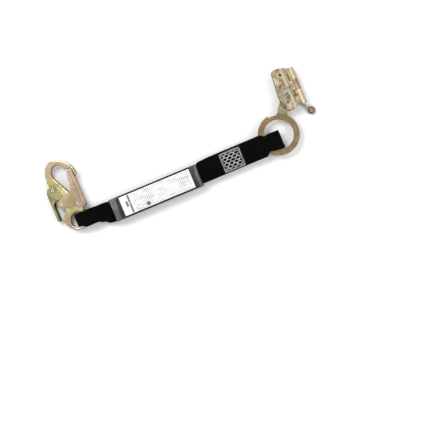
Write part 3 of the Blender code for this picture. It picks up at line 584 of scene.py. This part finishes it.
hook_path = mm_path(0, (-74, 10.7), (-96, 10.7), (-110, 10.8), (-121, 11.0), (-131, 10.6), (-143, 9.0),
                    (-152, 7.5), (-158.5, 9.7), (-160.0, 13.7), (-158.3, 17.8), (-152, 20.1), (-143, 22.3),
                    (-134, 24.2), (-127.5, 23.4), (-121.5, 19.6), (-116, 15.0), (-109, 13.4), (-96, 13.3),
                    (-74, 13.3))
hook_low = mm_stops((-158, -3.4), (-151, -4.6), (-147, -8.5), (-123, -8.5), (-112, -12.8), (-100, -19.5),
                    (-94, -20.4))
hook_high = mm_stops((-160, 21.6), (-99, 21.6), (-91, 20.4))
hook_web = strap("hook_side_webbing", hook_path, hook_low, hook_high, WEB_THICK)
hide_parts("hook_strap_webbing", "hook_loop_webbing")
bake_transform(hook_web)
dress(NODES["absorber_core"], WEBBING)


# ---------------------------------------------------------------- stitching

def cord_mesh(name, lines, radius, material, body):
    """Several threads as one piece, each a round tube with closed ends."""
    curve = bpy.data.curves.new(name, "CURVE")
    curve.dimensions = "3D"
    curve.bevel_depth = radius
    curve.bevel_resolution = 2
    curve.use_fill_caps = True
    for line in lines:
        spline = curve.splines.new("POLY")
        spline.points.add(len(line) - 1)
        for point, place in zip(spline.points, line):
            point.co = (*place, 1)
    obj = bpy.data.objects.new(name, curve)
    bpy.context.scene.collection.objects.link(obj)
    graph = bpy.context.evaluated_depsgraph_get()
    mesh = bpy.data.meshes.new_from_object(obj.evaluated_get(graph))
    bpy.data.objects.remove(obj, do_unlink=True)
    piece = bpy.data.objects.new(name, mesh)
    bpy.context.scene.collection.objects.link(piece)
    mesh.shade_smooth()
    dress(piece, material)
    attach(piece, body)
    return piece


STITCH_Z = RING_MID + 2.75 * MM


def stitches(points, pitch=3.0 * MM, dip=0.5 * MM):
    """A run of lock stitches: the thread rises over the webbing and dips in at each hole."""
    line = []
    for a, b in zip(points, points[1:]):
        a, b = Vector(a), Vector(b)
        count = max(1, round((b - a).length / pitch))
        for i in range(count * 6):
            t = i / (count * 6)
            height = STITCH_Z - dip * max(0.0, math.cos(2 * math.pi * t * count)) ** 3
            place = a.lerp(b, t)
            line.append((place.x, place.y, height))
    return line


def stitch_box():
    """A double border with rows of zigzag that nearly meet, so that black diamonds show between them."""
    left, right, low, high = (v * MM for v in (136.5, 177.5, -15.4, 21.4))
    lines = []
    for inset in (0.3 * MM, 1.9 * MM):
        corners = [(left + inset, low + inset), (right - inset, low + inset), (right - inset, high - inset),
                   (left + inset, high - inset), (left + inset, low + inset)]
        lines.append(stitches(corners, 2.6 * MM))
    rows, start, end = 6, left + 3.2 * MM, right - 3.2 * MM
    pitch = (high - low - 5.4 * MM) / rows
    for row in range(rows):
        base = low + 2.7 * MM + pitch * (row + 0.5)
        phase = row % 2
        for lift in (-0.45 * MM, 0.45 * MM):
            zigzag = []
            for k in range(8):
                swing = 0.30 if (k + phase) % 2 else -0.30
                zigzag.append((start + (end - start) * k / 7, base + lift + pitch * swing))
            lines.append(stitches(zigzag, 5.0 * MM, 0.3 * MM))
    return lines


box_threads = cord_mesh("box_stitch_threads", stitch_box(), 0.4 * MM, THREAD, "pack")
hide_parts("box_stitch")


# ---------------------------------------------------------------- pack

def film_sleeve():
    """The film sleeve as a thin tube: tight over the pack, flatter and creased towards its open ends."""
    columns, around, squareness = 150, 72, 0.22
    work = bmesh.new()
    rows = []
    for i in range(columns + 1):
        x = -FILM_HALF_LENGTH + 2 * FILM_HALF_LENGTH * i / columns
        end = max(0.0, (abs(x) - FILM_TIGHT) / (FILM_HALF_LENGTH - FILM_TIGHT))
        wall = []
        for k in range(around):
            a = 2 * math.pi * k / around
            c, s = math.cos(a), math.sin(a)
            y = math.copysign(abs(c) ** squareness, c) * FILM_HALF_WIDTH
            half = (PACK_TOP / 2 - FILM_GAP) * (1 - 0.20 * end * end)
            z = PACK_MID + math.copysign(abs(s) ** squareness, s) * half
            crease = math.sin(x * 1500 + 2.3 * math.sin(y * 260)) * 0.35 * MM * min(1.0, end * 1.5)
            sag = 0.18 * MM * math.sin(x * 95 + y * 60)
            lift = crease + (sag if abs(s) > 0.3 else 0)
            bite = 1.4 * MM * end * (1 - (abs(y) / (22 * MM)) ** 2) * math.copysign(1, x)
            height = max(0.1 * MM, z + math.copysign(lift, s))
            wall.append(work.verts.new((x - bite, y * (1 - 0.012 * end), height)))
        rows.append(wall)
    for a, b in zip(rows, rows[1:]):
        for k in range(around):
            j = (k + 1) % around
            work.faces.new((a[k], b[k], b[j], a[j]))
    mesh = bpy.data.meshes.new("film_sleeve")
    work.to_mesh(mesh)
    work.free()
    mesh.shade_smooth()
    obj = bpy.data.objects.new("film_sleeve", mesh)
    bpy.context.scene.collection.objects.link(obj)
    wall = obj.modifiers.new("Wall", "SOLIDIFY")
    wall.thickness = FILM_WALL
    wall.offset = -1
    dress(obj, FILM)
    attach(obj, "pack")
    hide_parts("pack_cover")
    return obj


def label_sheet():
    """The label, lying on the pack with slightly lifted corners."""
    low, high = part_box("label")
    low, high = low + Vector((0, LABEL_INSET, 0)), high - Vector((0, LABEL_INSET, 0))
    bpy.ops.mesh.primitive_grid_add(x_subdivisions=90, y_subdivisions=26, size=1)
    obj = bpy.context.object
    obj.name = "label_sheet"
    for vert in obj.data.vertices:
        u, v = vert.co.x + 0.5, vert.co.y + 0.5
        x = low[0] + (high[0] - low[0]) * u
        y = low[1] + (high[1] - low[1]) * v
        corner = (abs(2 * u - 1) ** 10) * (abs(2 * v - 1) ** 4)
        ripple = 0.18 * MM * math.sin(x * 95 + y * 60) + 0.05 * MM * math.sin(x * 420)
        vert.co = (x, y, PACK_TOP + FILM_GAP + ripple + 0.3 * MM * corner)
    wall = obj.modifiers.new("Sheet", "SOLIDIFY")
    wall.thickness = LABEL_THICK
    wall.offset = -1
    obj.data.shade_smooth()
    dress(obj, LABEL)
    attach(obj, "pack")
    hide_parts("label")
    return obj


film_sleeve()
label_sheet()


# ---------------------------------------------------------------- stage

def area_light(name, place, aim, size, power):
    data = bpy.data.lights.new(name, "AREA")
    data.shape = "RECTANGLE"
    data.size, data.size_y = size
    data.energy = power
    obj = bpy.data.objects.new(name, data)
    bpy.context.scene.collection.objects.link(obj)
    obj.location = place
    obj.rotation_euler = (Vector(aim) - Vector(place)).to_track_quat("-Z", "Y").to_euler()


def studio_world():
    """A pale room that darkens towards the horizon, with a greyer ceiling."""
    world = bpy.data.worlds.new("studio")
    world.use_nodes = True
    tree = world.node_tree
    place = tree.nodes.new("ShaderNodeTexCoord")
    parts = tree.nodes.new("ShaderNodeSeparateXYZ")
    tree.links.new(place.outputs["Generated"], parts.inputs["Vector"])
    height = tree.nodes.new("ShaderNodeValToRGB")
    ramp = height.color_ramp
    levels = ((0.0, 0.10), (0.20, 0.22), (0.45, 0.85), (0.80, 0.80), (1.0, 0.50))
    while len(ramp.elements) < len(levels):
        ramp.elements.new(0.5)
    for element, (position, level) in zip(ramp.elements, levels):
        element.position = position
        element.color = (level * 0.97, level * 0.985, level, 1)
    tree.links.new(parts.outputs["Z"], height.inputs["Fac"])
    tree.links.new(height.outputs["Color"], tree.nodes["Background"].inputs["Color"])
    tree.nodes["Background"].inputs["Strength"].default_value = 1.0
    return world


def make_stage():
    bpy.ops.mesh.primitive_plane_add(size=40, location=(0, 0, -0.0003))
    floor = bpy.context.object
    floor.name = "floor"
    dress(floor, floor_material())

    middle = (0.08, 0.04, 0.0)
    area_light("key", (-0.5, 1.0, 1.6), middle, (0.9, 0.7), 18)
    area_light("fill", (1.3, -0.6, 1.4), middle, (1.2, 0.8), 10)
    area_light("rim", (0.4, 1.8, 0.7), middle, (1.4, 0.4), 6)
    bpy.context.scene.world = studio_world()

    camera_data = bpy.data.cameras.new("camera")
    camera_data.sensor_width = 36
    camera_data.lens = 36 * CAMERA_HEIGHT / CAMERA_WIDTH
    camera = bpy.data.objects.new("camera", camera_data)
    bpy.context.scene.collection.objects.link(camera)
    camera.location = (*CAMERA_AIM, RING_MID + CAMERA_HEIGHT)
    camera.rotation_euler = (0, 0, CAMERA_ROLL)
    bpy.context.scene.camera = camera
    bpy.context.scene.view_settings.view_transform = "Standard"


make_stage()
